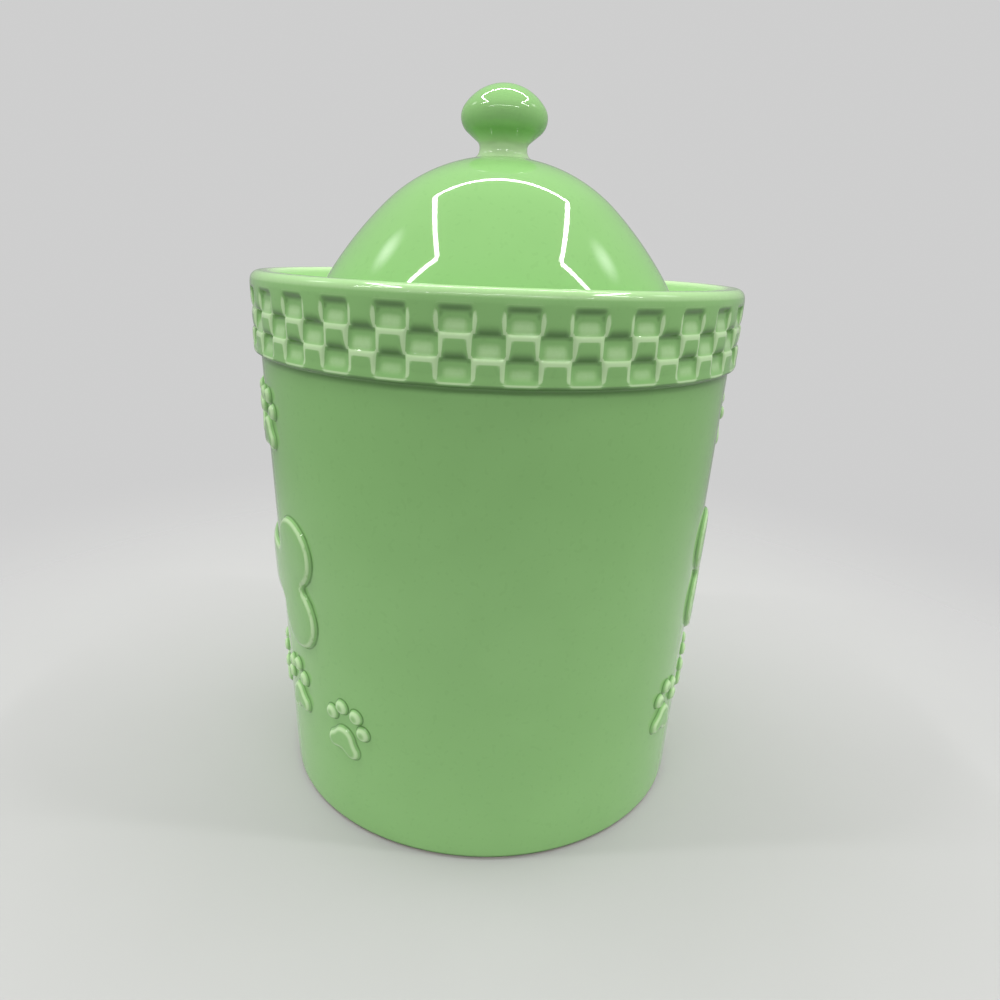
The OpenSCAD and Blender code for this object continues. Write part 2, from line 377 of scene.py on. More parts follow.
# %% [markdown]
# ## Where the glaze thins and pools
# A shader can find edges by itself while it renders, but a value that is stored on the points can be
# added to by hand, which the pale lines, the painted light and the painted shade on the band need.
# The bend at an edge is the angle between its two faces over the distance between their middles. A
# point takes the strongest bend of its edges. A mean with the neighbours then spreads the value a
# little, as runny glaze would.

# %% Glaze attribute
MOST_BEND = 1.5
LEAST_GAP = 0.05


def paint_glaze(mesh):
    """Writes the strongest bend at each point, which is above 0 on edges and below 0 in corners."""
    layer = mesh.verts.layers.float.new("glaze")
    bends = {}
    for edge in mesh.edges:
        if len(edge.link_faces) == 2:
            first, second = edge.link_faces
            gap = (first.calc_center_median() - second.calc_center_median()).length / MM
            bends[edge] = edge.calc_face_angle_signed(0.0) / max(gap, LEAST_GAP)
    for vert in mesh.verts:
        strongest = max((bends.get(edge, 0.0) for edge in vert.link_edges), key=abs)
        vert[layer] = max(-MOST_BEND, min(MOST_BEND, strongest))
    return layer


def soften_glaze(mesh, layer):
    """Mixes the value of each point with the mean of its neighbours."""
    means = []
    for vert in mesh.verts:
        near = [edge.other_vert(vert)[layer] for edge in vert.link_edges]
        means.append(0.5 * vert[layer] + 0.5 * sum(near) / len(near))
    for vert, mean in zip(mesh.verts, means):
        vert[layer] = mean


def finish_piece(name, mesh, body, nodes, materials):
    """Makes an object of a mesh, shades it smooth and lets it ride on a body."""
    data = bpy.data.meshes.new(name)
    for face in mesh.faces:
        face.smooth = True
    mesh.to_mesh(data)
    mesh.free()
    for material in materials:
        data.materials.append(material)
    piece = bpy.data.objects.new(name, data)
    bpy.context.scene.collection.objects.link(piece)
    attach(piece, body)
    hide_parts(*nodes)
    triangles = sum(len(polygon.vertices) - 2 for polygon in data.polygons)
    print(name, "has", triangles, "triangles")


# %% [markdown]
# ## The jar
# The section goes from the middle of the underside out over the foot ring, up the wall, round the
# band and the rim, down the well that holds the lid, over the ledge and down the inside to the floor.
# The wall has its lines close together under the band, where the pooled glaze and the painted
# shadow change quickly. The stretch of the band that gets the chequer has lines crowded near the
# edges of its rows, so that the slopes there come out crisp.

# %% Jar section
foot_recess = 1.6 * MM
foot_edge = 2 * MM
foot_ring_w = 6 * MM
foot_ring_r = foot_r - foot_edge - foot_ring_w
strip_low = 1.4 * MM
strip_top = 5.1 * MM
rim_edge = 2.6 * MM
rim_lean = 0.4 * MM
rim_inner_edge = 2 * MM
inside_r = foot_r - 8 * MM
floor_fillet = 12 * MM
recess_edge = 0.7 * MM
ring_edge = 0.5 * MM
band_fillet = 0.8 * MM
ledge_fillet = 0.8 * MM
ledge_edge = 1 * MM

chequer_rows = 3
rows_z = band_z + strip_low
rows_top = jar_h - strip_top
row_h = (rows_top - rows_z) / chequer_rows
WALL_LINES = (4, 7, 12, 24, 50, 80, 110, 135, 148, 150.5, 151.3, 152.1, 152.9, 153.7, 154.5)
STEPS_A_CELL = 12
CROWD = 0.6


def wall_r(z):
    """Radius of the outside of the wall at a height."""
    return foot_r + (wall_top_r - foot_r) * z / band_z


def crowd(share):
    """Moves a share of a cell towards the nearer edge of the cell."""
    return share - CROWD * math.sin(math.tau * share) / math.tau


def jar_section():
    """Half section of the jar, from the middle of the underside to the middle of the floor."""
    draw = Section(0.0, foot_recess)
    draw.points(foot_ring_r - 4 * MM, foot_recess, 3)
    draw.line(foot_ring_r - foot_recess, foot_recess, recess_edge, 2)
    draw.line(foot_ring_r, 0.0, ring_edge, 2)
    draw.line(foot_r, 0.0, foot_edge, 6)
    for z in WALL_LINES:
        draw.line(wall_r(z * MM), z * MM)
    draw.line(wall_top_r, band_z, band_fillet, 4)
    draw.line(rim_r, band_z, strip_low, 6)
    for line in range(chequer_rows * STEPS_A_CELL):
        draw.line(rim_r, rows_z + crowd(line / STEPS_A_CELL) * row_h)
    draw.line(rim_r, rows_top)
    draw.points(rim_r, rows_top + 1.4 * MM, 5)
    draw.line(rim_r - rim_lean, jar_h, rim_edge, 7)
    draw.line(gallery_r, jar_h, rim_inner_edge, 7)
    draw.points(gallery_r, ledge_z + 2 * MM, 3)
    draw.line(gallery_r, ledge_z, ledge_fillet, 3)
    draw.line(throat_r, ledge_z, ledge_edge, 4)
    draw.points(throat_r, throat_z, 2)
    draw.points(inside_r + 1.2 * MM, floor_z + 32 * MM, 3)
    draw.line(inside_r, floor_z, floor_fillet, 8)
    draw.line(40 * MM, floor_z)
    draw.points(0.0, floor_z, 3)
    return draw


chequer_columns = 60
jar_mesh = jar_section().spin(chequer_columns * STEPS_A_CELL)
print("jar body has", len(jar_mesh.faces), "faces")

# %% [markdown]
# ## The chequer
# A chequerboard is the product of two waves that jump between -1 and 1, one round the jar and one
# up it. With softened jumps the product gives raised tiles and hollows with rounded slopes, and a
# saddle where four of them meet. On the jar a tile has crisp sides and a crisp top, but its face
# falls back to a rounded lower edge, and the hollow below rises from there to the top of the next
# tile. So the jumps are softer under the tiles, and a third wave leans the faces. The rows end at
# two plain strips, which the tiles of the outer rows run into.

# %% Chequer waves
SOFT_ACROSS = 0.22
SOFT_UP = 0.35
ROLL = 0.30
LOWEST_ROW = 0.35
HALF_ROW = 0.5
column_angle = math.tau / chequer_columns
low_strip_blend = (rows_z - 0.8 * MM, rows_z + 2.4 * MM)
top_strip_blend = (rows_top - 1.3 * MM, rows_top + 1.1 * MM)


def smooth_jump(turns, soft):
    """A wave of period 2 that jumps between -1 and 1 at each whole number, steeply if soft is small."""
    wave = math.sin(math.pi * turns)
    return wave / math.hypot(wave, soft) * math.hypot(1, soft)


def smooth_step(low, high, value):
    """0 below low, 1 above high, and a smooth step between them."""
    share = max(0.0, min(1.0, (value - low) / (high - low)))
    return share * share * (3 - 2 * share)


def cell_place(vert):
    """The place of a point, counted in columns round the jar and in rows up the band."""
    column = math.atan2(vert.co.x, -vert.co.y) / column_angle + 0.5
    row = (vert.co.z - rows_z) / row_h
    return column, row


def cell_waves(vert):
    """Two waves at a point of the band.

    The first is 0 on tiles and strips and 1 in hollows. The second is 1 at the top of a tile and -1
    under it.
    """
    column, row = cell_place(vert)
    row = max(LOWEST_ROW, min(chequer_rows - HALF_ROW, row))
    across = smooth_jump(column, SOFT_ACROSS)
    lean = across * math.cos(math.pi * row)
    wave = 0.5 + 0.5 * across * smooth_jump(max(HALF_ROW, row), SOFT_UP * (1 - ROLL * lean))
    wave *= smooth_step(*low_strip_blend, vert.co.z)
    wave *= 1 - smooth_step(*top_strip_blend, vert.co.z)
    return wave, lean


print("a cell is", round(1000 * column_angle * rim_r, 1), "mm wide and", round(1000 * row_h, 1), "mm high")

# %% [markdown]
# ### Pressing it
# Ninety boxes cut out of the band would leave hard edges, all of them to be rounded again. Here the
# points of the spun body move instead, and no face is added or cut. First the columns of points slide
# towards the edges of the cells. Then each point of the hollows moves in towards the axis.

# %% Press the chequer
chequer_depth = 1.7 * MM
TILE_FALL = 0.04
tile_fall_end = (rows_top - 3 * MM, rows_top)
HOLLOW_FLOOR = 0.72
HOLLOW_RISE = 0.28


def crowd_columns(mesh):
    """Slides the columns of points towards the edges of the cells."""
    for vert in mesh.verts:
        column, _ = cell_place(vert)
        slide = (crowd(column) - column) * column_angle
        vert.co.rotate(Matrix.Rotation(slide, 3, "Z"))


def band_points(mesh):
    """The points of the outside of the band."""
    for vert in mesh.verts:
        if vert.co.z > band_z and math.hypot(vert.co.x, vert.co.y) > wall_top_r:
            yield vert


def press_chequer(mesh):
    """Presses the hollows into the band."""
    for vert in band_points(mesh):
        wave, lean = cell_waves(vert)
        tile_face = TILE_FALL * (1 - lean) ** 2 * (1 - smooth_step(*tile_fall_end, vert.co.z))
        hollow_floor = HOLLOW_FLOOR - HOLLOW_RISE * lean
        share = tile_face * (1 - wave) + hollow_floor * wave
        scale = 1 - chequer_depth * share / math.hypot(vert.co.x, vert.co.y)
        vert.co.x *= scale
        vert.co.y *= scale
    mesh.normal_update()


crowd_columns(jar_mesh)
press_chequer(jar_mesh)
hollows = chequer_rows * chequer_columns // 2
print("pressed", hollows, "hollows, up to", round(1000 * chequer_depth, 1), "mm deep")

# %% [markdown]
# ### Glaze, painted light and painted shade on the band
# The bend alone would treat all edges alike, so on the band the value is painted by the place in the
# cell, and most of it is painted light and shade. A pale line follows the sides and the top of each
# tile: thin glaze, partly a painted highlight. The face of the tile darkens downwards, and what faces
# down is darkest: painted shade. A hollow is a little pale in its middle, which is painted light, and
# dark at its sides and under the tile above it, which is painted shade.

# %% Glaze in the cells
# The pale line is thin glaze and partly a painted highlight. The pools of the tile face, of what faces
# down and of the edges of a hollow are painted shade, and the pale middle of a hollow is painted light.
LINE_START = (0.0 * MM, 0.30 * MM)
LINE_END = (0.75 * MM, 1.40 * MM)
LINE_PALE_AND_HIGHLIGHT = 0.85
LINE_KEEPS = (0.0, 0.6)
FACE_PAINTED_SHADE = 0.40
UNDER_PAINTED_SHADE = 1.4
MOST_PAINTED_SHADE = 0.95
HOLLOW_SIDE = (-0.6 * MM, 2.2 * MM)
HOLLOW_ROOF = (0.5 * MM, 3.6 * MM)
HOLLOW_PAINTED_LIGHT = 0.36
HOLLOW_PAINTED_SHADE = 0.10
SIDE_FADE = 2 * MM


def pale_line(distance):
    """1 on the pale line beside an edge of a tile, and 0 on the edge itself and farther in."""
    return smooth_step(*LINE_START, distance) * (1 - smooth_step(*LINE_END, distance))


def cell_glaze_light_and_shade(vert, wave, lean, down):
    """The value a point of the band gets from its place in a cell: above 0 the pale line of a tile, thin
    glaze that is partly a painted highlight, and the painted light in the middle of a hollow; below 0
    painted shade.
    """
    column, row = cell_place(vert)
    level = max(0, min(chequer_rows - 1, math.floor(row)))
    aside = abs(column - round(column)) * column_angle * rim_r
    beneath = (level + 1 - row) * row_h
    if wave > 0.5:
        middle = smooth_step(*HOLLOW_SIDE, aside) * smooth_step(*HOLLOW_ROOF, beneath)
        # In a hollow: painted light in the middle, painted shade at its sides, under the tile above and
        # where it faces down.
        return wave * (HOLLOW_PAINTED_LIGHT * middle - HOLLOW_PAINTED_SHADE * (1 - middle)) - UNDER_PAINTED_SHADE * down
    side = pale_line(aside)
    top = pale_line(beneath)
    if level == 0:
        side *= smooth_step(rows_z, rows_z + SIDE_FADE, vert.co.z)
    if level == chequer_rows - 1:
        side *= 1 - smooth_step(rows_top - 2 * SIDE_FADE, rows_top - 0.5 * SIDE_FADE, vert.co.z)
        top = 0.0
    line = max(side, top)
    # Painted shade on the lower part of a tile's face and where it faces down.
    painted_shade = min(MOST_PAINTED_SHADE, FACE_PAINTED_SHADE * max(0.0, -lean) * (1 - wave) + UNDER_PAINTED_SHADE * down)
    return LINE_PALE_AND_HIGHLIGHT * line * min(1.0, 2 * (1 - wave)) - painted_shade * (1 - smooth_step(*LINE_KEEPS, line))


# %% [markdown]
# ### Glaze, painted light and painted shade on the rest of the jar
# Where a surface of the band faces down, its bend counts for less, and where it doesn't, its corners
# show no pool: this painted shade follows which way a face turns. The wall is dark close under the
# band with pooled glaze and a painted shadow, the well that holds the lid is pale with painted light,
# and round the foot a painted shadow darkens the glaze. Then the values are spread, the foot ring is
# left bare, and the jar is done.

# %% Jar body
FACES_DOWN = (0.05, 0.25)
# Under the band the dark pooled glaze widens downwards into a painted shadow.
UNDER_BAND_POOL_AND_SHADOW = 0.75
UNDER_BAND_SHADOW_FADE = (0.8 * MM, 3.2 * MM)
UNDER_BAND_SHADOW_REACH = 10 * MM
# Painted light in the well.
WELL_PAINTED_LIGHT = 0.45
WELL_EDGE = 2.0 * MM
# A painted shadow along the foot.
FOOT_SHADOW_FADE = (0.6 * MM, 2.2 * MM)
BARE_HEIGHT = 0.6 * MM


def paint_band_glaze_and_shade(mesh, layer):
    """Fades the bend where a face turns down and drops the pools where it doesn't, then adds the thin
    glaze, painted light and painted shade that the place in a cell gives.
    """
    for vert in band_points(mesh):
        wave, lean = cell_waves(vert)
        down = max(0.0, -vert.normal.z)
        # Painted shade that follows which way a face turns: faces turning down lose their pale edges, the
        # others lose their dark pools.
        if down == 0:
            vert[layer] = max(0.0, vert[layer])
        else:
            vert[layer] *= 1 - smooth_step(*FACES_DOWN, down)
        vert[layer] += cell_glaze_light_and_shade(vert, wave, lean, down)


def paint_wall_light_and_shade(mesh, layer):
    """Paints the wall dark under the band with pooled glaze and a painted shadow, dark round the foot with
    a painted shadow, and pale in the well with painted light.
    """
    for vert in mesh.verts:
        below = band_z - vert.co.z
        radius = math.hypot(vert.co.x, vert.co.y)
        # Pooled glaze in the corner under the band, widened downwards into a painted shadow.
        if 0 <= below < UNDER_BAND_SHADOW_REACH and abs(radius - wall_top_r) < 1 * MM:
            vert[layer] = -UNDER_BAND_POOL_AND_SHADOW * (1 - smooth_step(*UNDER_BAND_SHADOW_FADE, below))
        # Painted light in the well that holds the lid.
        if vert.co.z > ledge_z + 1 * MM and abs(radius - gallery_r) < WELL_EDGE:
            vert[layer] += WELL_PAINTED_LIGHT
        # A painted shadow round the foot, where it meets the floor.
        if vert.co.z < FOOT_SHADOW_FADE[1] and radius > foot_r - foot_edge:
            vert[layer] = -MOST_BEND * (1 - smooth_step(*FOOT_SHADOW_FADE, vert.co.z))


bend_and_painted_light = paint_glaze(jar_mesh)
paint_band_glaze_and_shade(jar_mesh, bend_and_painted_light)
paint_wall_light_and_shade(jar_mesh, bend_and_painted_light)
soften_glaze(jar_mesh, bend_and_painted_light)
for face in jar_mesh.faces:
    ring = max(math.hypot(v.co.x, v.co.y) for v in face.verts)
    if max(v.co.z for v in face.verts) < BARE_HEIGHT and ring > foot_ring_r - 1 * MM:
        face.material_index = 1
finish_piece("jar_body", jar_mesh, "jar", ["jar"], [glaze, clay])

# %% [markdown]
# ## The raised motifs
# Each side carries a plain bone between two rows of paw prints, standing proud of the wall with
# edges that the glaze has rounded. A motif starts flat, as an outline with rounded corners. It could
# be extruded and its top edge bevelled, but then it would meet the wall in a sharp corner. So the
# outline is given a thickness, and insets raise its face in rings from a skirt that meets the wall at
# a low angle to a soft shoulder. Last it is bent round the wall.

# %% Motif helpers
SKIRT = 0.9 * MM
ROOT = 1.0 * MM
SINK = 0.06 * MM
RINGS = ((0.45, 0.04), (0.40, 0.16), (0.35, 0.42), (0.35, 0.48), (0.45, 0.36), (0.55, 0.18), (0.60, 0.08))
CROWN = ((1.00, 0.09), (1.20, 0.07), (1.40, 0.04))


def raise_outline(mesh, face, shrink=1.0, rings=RINGS):
    """Gives a flat outline its thickness and raises it in rings, each a width and a rise in millimetres.

    A shrink below 1 narrows the rings for a small outline.
    """
    top = bmesh.ops.extrude_face_region(mesh, geom=[face])
    lifted = [item for item in top["geom"] if isinstance(item, bmesh.types.BMFace)]
    verts = [item for item in top["geom"] if isinstance(item, bmesh.types.BMVert)]
    bmesh.ops.translate(mesh, verts=verts, vec=(0, 0, ROOT))
    for width, rise in rings:
        bmesh.ops.inset_region(
            mesh,
            faces=lifted,
            thickness=width * shrink * MM,
            depth=rise * MM,
            use_even_offset=True,
        )
    return lifted[0]


def bend_round_wall(mesh, along, up, tilt=0.0):
    """Puts a flat motif on the wall: x goes round it, y up it and z out of it."""
    turn = Matrix.Rotation(tilt, 2)
    sink = ROOT + SINK
    for vert in mesh.verts:
        flat = turn @ Vector((vert.co.x, vert.co.y))
        z = up + flat.y
        angle = (along + flat.x) / wall_r(z)
        r = wall_r(z) + vert.co.z - sink
        vert.co = (r * math.sin(angle), -r * math.cos(angle), z)


def lobed_face(mesh, lobes):
    """A flat face round overlapping circles, each given as x, y and radius in millimetres."""
    middle = Vector((0, 0))
    for x, y, _ in lobes:
        middle += Vector((x, y)) / len(lobes)
    segments = 24 + 12 * len(lobes)
    ring = bmesh.ops.create_circle(mesh, cap_ends=True, segments=segments, radius=1.0)["verts"]
    for vert in ring:
        way = vert.co.xy.normalized()
        reach = 0.0
        for x, y, r in lobes:
            centre = Vector((x, y)) - middle
            nearest = centre.dot(way)
            half_chord = r ** 2 - centre.length_squared + nearest ** 2
            if half_chord > 0:
                reach = max(reach, nearest + math.sqrt(half_chord))
        vert.co.xy = (middle + way * (reach + SKIRT / MM)) * MM
    if len(lobes) > 1:
        for _ in range(3):
            bmesh.ops.smooth_vert(mesh, verts=ring, factor=0.5, use_axis_x=True, use_axis_y=True)
    return ring[0].link_faces[0]


def add_part(whole, part):
    """Moves the faces of one mesh into another."""
    carrier = bpy.data.meshes.new("carrier")
    part.to_mesh(carrier)
    part.free()
    whole.from_mesh(carrier)
    bpy.data.meshes.remove(carrier)


# %% [markdown]
# ### Paw print
# A pad of three lobes with four round toes fanned above it. Circles could be joined by a boolean, but
# that leaves sharp notches. The outline of the pad is found by looking out from its middle and taking
# the farthest of the three circles in each direction, and smoothing rounds the notches.

# %% Paw print
PAD = ((0.0, -3.8, 4.9), (-3.6, -6.5, 3.7), (3.6, -6.5, 3.7))
TOES = ((-6.9, 3.0, 2.6), (-3.1, 7.6, 2.6), (3.1, 7.6, 2.6), (6.9, 3.0, 2.6))
TOE_SHRINK = 0.85


def paw(along, up, tilt):
    """A paw print on the wall, at a distance round it and a height."""
    whole = bmesh.new()
    for lobes, shrink in [(PAD, 1.0)] + [((toe,), TOE_SHRINK) for toe in TOES]:
        part = bmesh.new()
        crown = raise_outline(part, lobed_face(part, lobes), shrink)
        bmesh.ops.poke(part, faces=[crown])
        add_part(whole, part)
    bend_round_wall(whole, along, up, tilt)
    return whole


# %% [markdown]
# ### Bone
# A quarter of the outline is one arc for the knuckle. Mirroring it twice and joining the ends with
# straight lines gives the whole bone, alike at both ends. It is long, and flat faces can't follow the
# round wall, so it is sliced upright before it is bent.

# %% Bone
bone_z = 84 * MM
bone_l = 94 * MM
knuckle_r = 11.8 * MM
knuckle_rise = 11.2 * MM
shaft_half = 9 * MM
notch_rounding = 1.6 * MM
joint_rounding = 3.0 * MM
slice_step = 2.5 * MM
NEAR = 0.01 * MM


def bone_outline(mesh):
    """Draws the flat outline of the bone and fills it with one face."""
    r = knuckle_r + SKIRT
    shaft = shaft_half + SKIRT
    centre = Vector((bone_l / 2 - knuckle_r, knuckle_rise, 0))
    start = math.asin(-knuckle_rise / r)
    end = math.pi + math.asin((knuckle_rise - shaft) / r)
    first = mesh.verts.new(centre + r * Vector((math.cos(start), math.sin(start), 0)))
    bmesh.ops.spin(mesh, geom=[first], cent=centre, axis=(0, 0, 1), angle=end - start, steps=40)
    quarter = mesh.verts[:] + mesh.edges[:]
    bmesh.ops.mirror(mesh, geom=quarter, axis="Y", merge_dist=WELD)
    bmesh.ops.mirror(mesh, geom=mesh.verts[:] + mesh.edges[:], axis="X", merge_dist=WELD)
    bmesh.ops.remove_doubles(mesh, verts=mesh.verts[:], dist=WELD)
    ends = [vert for vert in mesh.verts if len(vert.link_edges) == 1]
    for side in (1, -1):
        mesh.edges.new([vert for vert in ends if vert.co.y * side > 0])
    bmesh.ops.contextual_create(mesh, geom=mesh.edges[:])
    print("bone outline has", len(mesh.verts), "points")


def bone():
    """The bone on the wall, with its notches and the ends of its shaft rounded."""
    mesh = bmesh.new()
    bone_outline(mesh)
    notches = [v for v in mesh.verts if abs(v.co.y) < NEAR]
    joints = [v for v in mesh.verts if abs(abs(v.co.y) - shaft_half - SKIRT) < NEAR]
    for corners, offset in ((notches, notch_rounding), (joints, joint_rounding)):
        bmesh.ops.bevel(
            mesh,
            geom=corners,
            offset=offset,
            offset_type="OFFSET",
            segments=6,
            profile=0.5,
            affect="VERTICES",
            material=-1,
        )
    raise_outline(mesh, mesh.faces[:][0], 1.0, RINGS + CROWN)
    count = int(bone_l / slice_step / 2) + 1
    for i in range(-count, count + 1):
        everything = mesh.verts[:] + mesh.edges[:] + mesh.faces[:]
        bmesh.ops.bisect_plane(
            mesh,
            geom=everything,
            dist=0.0005 * MM,
            plane_co=(i * slice_step, 0, 0),
            plane_no=(1, 0, 0),
        )
    bend_round_wall(mesh, 0.0, bone_z)
    return mesh


# %% [markdown]
# ### Both sides
# The upper row has three prints in line. The lower row walks round the jar: each print is shifted
# and tilted against the last. A row is a height, a count, a pitch, a shift and a tilt. The far side
# could share the mesh of the near one, but it is made again and turned half round, because each
# piece keeps its place in its own mesh.

# %% Place the motifs
UPPER_ROW = (136.5 * MM, 3, 21 * MM, 0.0, 0.0)
LOWER_ROW = (41.5 * MM, 5, 29 * MM, 2 * MM, math.radians(14))


def side_motifs():
    """The bone and the two rows of prints of one side."""
    whole = bone()
    for up, count, pitch, stagger, tilt in (UPPER_ROW, LOWER_ROW):
        for i in range(count):
            turn = i % 2 * 2 - 1
            add_part(whole, paw((i - (count - 1) / 2) * pitch, up + turn * stagger, turn * tilt))
    bmesh.ops.recalc_face_normals(whole, faces=whole.faces[:])
    return whole


for name, turn in (("front_motifs", 0.0), ("back_motifs", math.pi)):
    motifs = side_motifs()
    bmesh.ops.rotate(motifs, verts=motifs.verts[:], cent=(0, 0, 0), matrix=Matrix.Rotation(turn, 3, "Z"))
    soften_glaze(motifs, paint_glaze(motifs))
    finish_piece(name, motifs, "jar", ["jar"], [glaze])

# %% [markdown]
# ## The lid
# The lid is drawn from the top of the knob downwards. The knob is a mushroom: a flat crown, a full
# rim and a flared underside on a short neck. The dome has a rounder crown and flatter sides, then
# come the flange that rests on the jar's ledge, the plug with its groove, and the hollow inside.
# Knob and dome could be two pieces, but a cast lid has no seam there, so one section gives it all.
# Round the neck, in the shade of the knob, the colour is lifted with painted light, and the end of the
# plug is bare.

# %% Lid
dome_h = 56.7 * MM
dome_t = 5 * MM
crown_r = 55.5 * MM
side_r = 128 * MM
crown_angle = 44.0
flange_t = 5 * MM
flange_r = lid_high.x
plug_r = throat_r - 1 * MM
plug_in_r = plug_r - 7.5 * MM
plug_z = lid_low.z
groove_z = ledge_z - 3.2 * MM
groove_h = 5 * MM
groove_r = plug_r - 3 * MM
neck_r = 7.9 * MM
neck_fillet = 3 * MM
knob_fillet = 2.1 * MM
knob_r = 14.2 * MM
knob_edge = 5.8 * MM
knob_rise = 10.2 * MM
knob_flare = 39.0
knob_top = lid_high.z
dome_fillet = 1.2 * MM
flange_edge = 1.6 * MM
seat_edge = 0.5 * MM
groove_edge = 0.4 * MM
plug_edge = 1.5 * MM
LID_STEPS = 256
NECK_PAINTED_LIGHT = 0.55
NECK_EDGE = 2 * MM
BARE_PLUG = 1.2 * MM


def lid_section():
    """Half section of the lid, from the top of the knob to the top of the hollow inside."""
    crown_z = ledge_z + dome_h - crown_r
    rim = knob_r - knob_edge
    rim_z = knob_top - knob_rise
    knob_crown = (rim ** 2 + knob_rise ** 2 - knob_edge ** 2) / (2 * (knob_rise - knob_edge))
    tilt = math.degrees(math.atan2(rim, knob_crown - knob_rise))
    slope = math.tan(math.radians(knob_flare))
    flare_turn = math.radians(90 - knob_flare)
    foot = math.degrees(math.asin((neck_r + neck_fillet) / (crown_r + neck_fillet)))
    foot_z = crown_z + (crown_r + neck_fillet) * math.cos(math.radians(foot))
    side_turn = math.radians(crown_angle)
    side = (crown_r - side_r) * Vector((math.sin(side_turn), math.cos(side_turn)))
    side_z = crown_z + side.y
    outer_end = math.degrees(math.acos((ledge_z + flange_t - side_z) / side_r))
    inner_end = math.degrees(math.asin((plug_in_r - side.x) / (side_r - dome_t)))

    draw = Section(0.0, knob_top)
    draw.arc(0.0, knob_top - knob_crown, tilt, 14)
    draw.arc(rim, rim_z, 180 - knob_flare - tilt, 16)
    flare_z = draw.tip.co.z - (draw.tip.co.x - neck_r) * slope
    draw.line(neck_r, flare_z, knob_fillet * math.tan(flare_turn / 2), 5)
    draw.line(neck_r, foot_z)
    draw.arc(neck_r + neck_fillet, foot_z, foot - 90, 8)
    draw.arc(0.0, crown_z, crown_angle - foot, 18)
    draw.arc(side.x, side_z, outer_end - crown_angle, 20)
    draw.corners.append((draw.tip, dome_fillet, 4))
    draw.line(flange_r, ledge_z + flange_t, flange_edge, 6)
    draw.line(flange_r, ledge_z, seat_edge, 3)
    draw.line(plug_r, ledge_z, seat_edge, 3)
    draw.line(plug_r, groove_z, groove_edge, 3)
    draw.line(groove_r, groove_z)
    draw.line(groove_r, groove_z - groove_h)
    draw.line(plug_r, groove_z - groove_h, groove_edge, 3)
    draw.line(plug_r, plug_z, plug_edge, 6)
    draw.line(plug_in_r, plug_z, plug_edge, 6)
    reach = side_r - dome_t
    inner_z = side_z + reach * math.cos(math.radians(inner_end))
    draw.line(plug_in_r, inner_z)
    draw.arc(side.x, side_z, crown_angle - inner_end, 14)
    draw.arc(0.0, crown_z, -crown_angle, 14)
    return draw


lid_mesh = lid_section().spin(LID_STEPS)
bend_and_painted_light = paint_glaze(lid_mesh)
# Painted light on the neck, in the shade of the knob.
for vert in lid_mesh.verts:
    on_neck = ledge_z + dome_h - NECK_EDGE < vert.co.z < knob_top - knob_rise
    if on_neck and math.hypot(vert.co.x, vert.co.y) < neck_r + NECK_EDGE:
        vert[bend_and_painted_light] = NECK_PAINTED_LIGHT
soften_glaze(lid_mesh, bend_and_painted_light)
for face in lid_mesh.faces:
    if max(v.co.z for v in face.verts) < plug_z + BARE_PLUG:
        face.material_index = 1
finish_piece("lid_shell", lid_mesh, "lid", ["lid"], [glaze, clay])

# %% [markdown]
# ## The seal
# A silicone ring lies in the groove of the plug. Two lips point outwards and close the throat. A
# torus would sit in the groove as well, but it has no lips, so the ring is spun from a section. Its
# edges are rounded a little, as moulded rubber is.

# %% Seal
seal_web = 1.4 * MM
lip_t = 0.9 * MM
seal_in_r = groove_r + 0.3 * MM
seal_out_r = seal_high.x
seal_mid = (seal_low.z + seal_high.z) / 2
SEAL_STEPS = 192


def seal_section():
    """Half section of the seal: a web with two lips."""
    soft = 0.3 * MM
    draw = Section(seal_in_r, seal_mid)
    draw.line(seal_in_r, seal_low.z, soft, 3)
    draw.line(seal_out_r, seal_low.z, soft, 3)
    draw.line(seal_out_r, seal_low.z + lip_t, soft, 3)
    draw.line(seal_in_r + seal_web, seal_mid, soft, 3)
    draw.line(seal_out_r, seal_high.z - lip_t, soft, 3)
    draw.line(seal_out_r, seal_high.z, soft, 3)
    draw.line(seal_in_r, seal_high.z, soft, 3)
    draw.line(seal_in_r, seal_mid)
    return draw


finish_piece("seal_ring", seal_section().spin(SEAL_STEPS), "seal", ["lid_seal"], [silicone])

# %% [markdown]
# ## Floor
# The jar stands on a pale floor that fades into a backdrop of the same tone, so no edge shows. A disc
# is enough: near the jar it takes the soft shadow, and farther out it turns clear.

# %% Floor
FLOOR_PALE = (0.53, 0.53, 0.52)
FLOOR_CLOUD = (0.55, 0.55, 0.54)
FLOOR_FADE = (0.10, 0.45)


def pale_floor():
    paint = Finish("pale_floor")
    reach = paint.vector("LENGTH", paint.place())
    return paint.show({
        "Base Color": paint.mix(paint.noise(60 * MM, 3.0), FLOOR_PALE, FLOOR_CLOUD),
        "Roughness": 0.85,
        "Alpha": 1.0 - paint.ramp(reach, *FLOOR_FADE),
    })


floor_mesh = bmesh.new()
bmesh.ops.create_circle(floor_mesh, cap_ends=True, segments=96, radius=2.0)
floor_data = bpy.data.meshes.new("floor")
floor_mesh.to_mesh(floor_data)
floor_mesh.free()
floor_data.materials.append(pale_floor())
floor = bpy.data.objects.new("floor", floor_data)
bpy.context.scene.collection.objects.link(floor)

# %% [markdown]
# ## World
# The world fills the shadows, most from the left and the right, less from the rest of the upper half
# and least from below, so that the round wall is brighter towards its sides than in its middle. It
# shows the camera a pale backdrop and the mirror images in the glaze a darker one, so that the colour
# of the glaze stays deep.

# %% World
FILL_ABOVE = 0.33
FILL_SIDE = 0.80
FILL_BELOW = 0.12
MIRRORED = 0.36
BACKDROP = 0.62
HORIZON = (-0.15, 0.10)
SIDEWAYS = (0.15, 0.80)


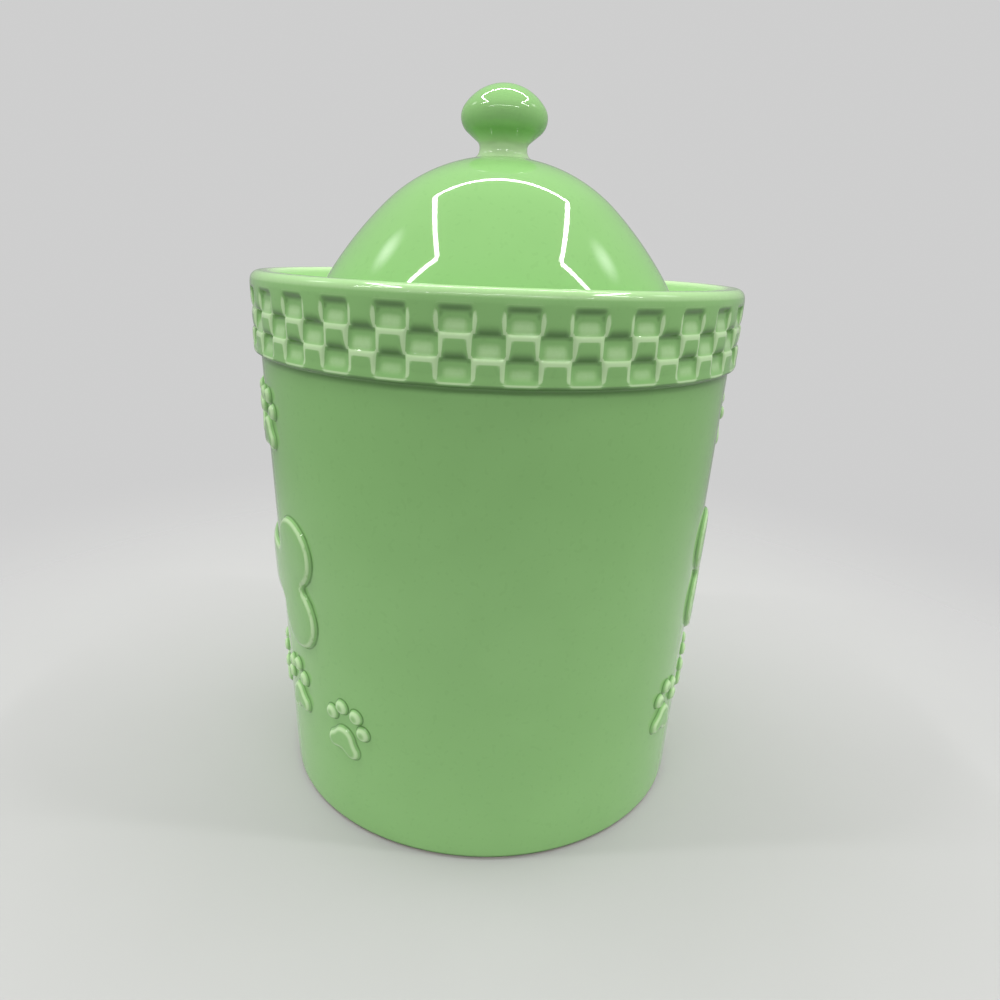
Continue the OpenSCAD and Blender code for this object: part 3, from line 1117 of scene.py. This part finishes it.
def studio_world():
    world = bpy.data.worlds.new("studio")
    world.use_nodes = True
    sky = Nodes(world.node_tree)
    way = sky.get("ShaderNodeTexCoord", "Generated", {}, {})
    above = sky.ramp(sky.vector("DOT_PRODUCT", way, (0, 0, 1)), *HORIZON)
    across = sky.vector("DOT_PRODUCT", way, (math.cos(camera_turn), math.sin(camera_turn), 0))
    fill = sky.ramp(across * across, *SIDEWAYS) * FILL_SIDE + (FILL_ABOVE - FILL_BELOW)
    tone = fill * above + FILL_BELOW
    for kind, level in (("Is Glossy Ray", MIRRORED), ("Is Camera Ray", BACKDROP)):
        ray = sky.get("ShaderNodeLightPath", kind, {}, {})
        tone = tone * (1 - ray) + ray * level
    sky.tree.links.new(tone.output, sky.tree.nodes["Background"].inputs["Color"])
    return world


bpy.context.scene.world = studio_world()

# %% [markdown]
# ## Lamps
# Slim lamps hang above the jar in a frame, with two wings towards the sides. The glossy dome throws
# the frame back as a bright arch with splayed feet. Two small square lamps, a little behind the jar
# on the left and the right, fade towards their edges. They give the soft glints low on the dome.

# %% Lamps
LAMP_HEIGHT = 1.0
LAMP_WIDTH = 0.03
SOFT_LAMP_SIZE = 0.28


def strip_lamp(name, across, towards, length, turn, power):
    """A slim lamp that looks down; across and towards are counted from the jar as the camera sees it."""
    lamp = bpy.data.lights.new(name, "AREA")
    lamp.shape = "RECTANGLE"
    lamp.size = length
    lamp.size_y = LAMP_WIDTH
    lamp.energy = power
    holder = bpy.data.objects.new(name, lamp)
    place = Matrix.Rotation(camera_turn, 4, "Z") @ Matrix.Translation((across, -towards, LAMP_HEIGHT))
    holder.matrix_world = place @ Matrix.Rotation(turn, 4, "Z")
    bpy.context.scene.collection.objects.link(holder)
    print(name, "gives", power, "W")


strip_lamp("back_lamp", 0.0, -0.36, 0.92, 0.0, 3.5)
strip_lamp("front_lamp", 0.0, 0.90, 1.80, 0.0, 6.5)
for name, side in (("left", -1), ("right", 1)):
    strip_lamp(name + "_lamp", 0.46 * side, -0.09, 0.54, math.radians(90), 2.4)
    strip_lamp(name + "_wing_lamp", 0.68 * side, 0.185, 0.44, 0.0, 2.0)


def soft_lamp(name, across, towards, height, power):
    """A small square lamp to one side that looks at the jar and fades towards its edges."""
    lamp = bpy.data.lights.new(name, "AREA")
    lamp.size = SOFT_LAMP_SIZE
    lamp.energy = power
    lamp.use_nodes = True
    glow = Nodes(lamp.node_tree)
    spot = glow.get("ShaderNodeNewGeometry", "Parametric", {}, {})
    fade = 1 - glow.ramp(glow.vector("DISTANCE", spot, (0.5, 0.5, 0)), 0.0, 0.5)
    glow.tree.links.new(fade.output, glow.tree.nodes["Emission"].inputs["Strength"])
    holder = bpy.data.objects.new(name, lamp)
    place = Matrix.Rotation(camera_turn, 3, "Z") @ Vector((across, -towards, height))
    way = Vector((0, 0, jar_h / 2)) - place
    holder.matrix_world = Matrix.Translation(place) @ way.to_track_quat("-Z", "Y").to_matrix().to_4x4()
    bpy.context.scene.collection.objects.link(holder)
    print(name, "gives", power, "W")


soft_lamp("left_soft_lamp", -0.723, -0.271, 0.842, 1.0)
soft_lamp("right_soft_lamp", 0.713, -0.191, 0.882, 1.0)

# %% [markdown]
# ## Colours on the screen
# The standard view shows each colour about as it is written, with no film curve over it.

# %% View
bpy.context.scene.view_settings.view_transform = "Standard"
print("view transform is", bpy.context.scene.view_settings.view_transform)
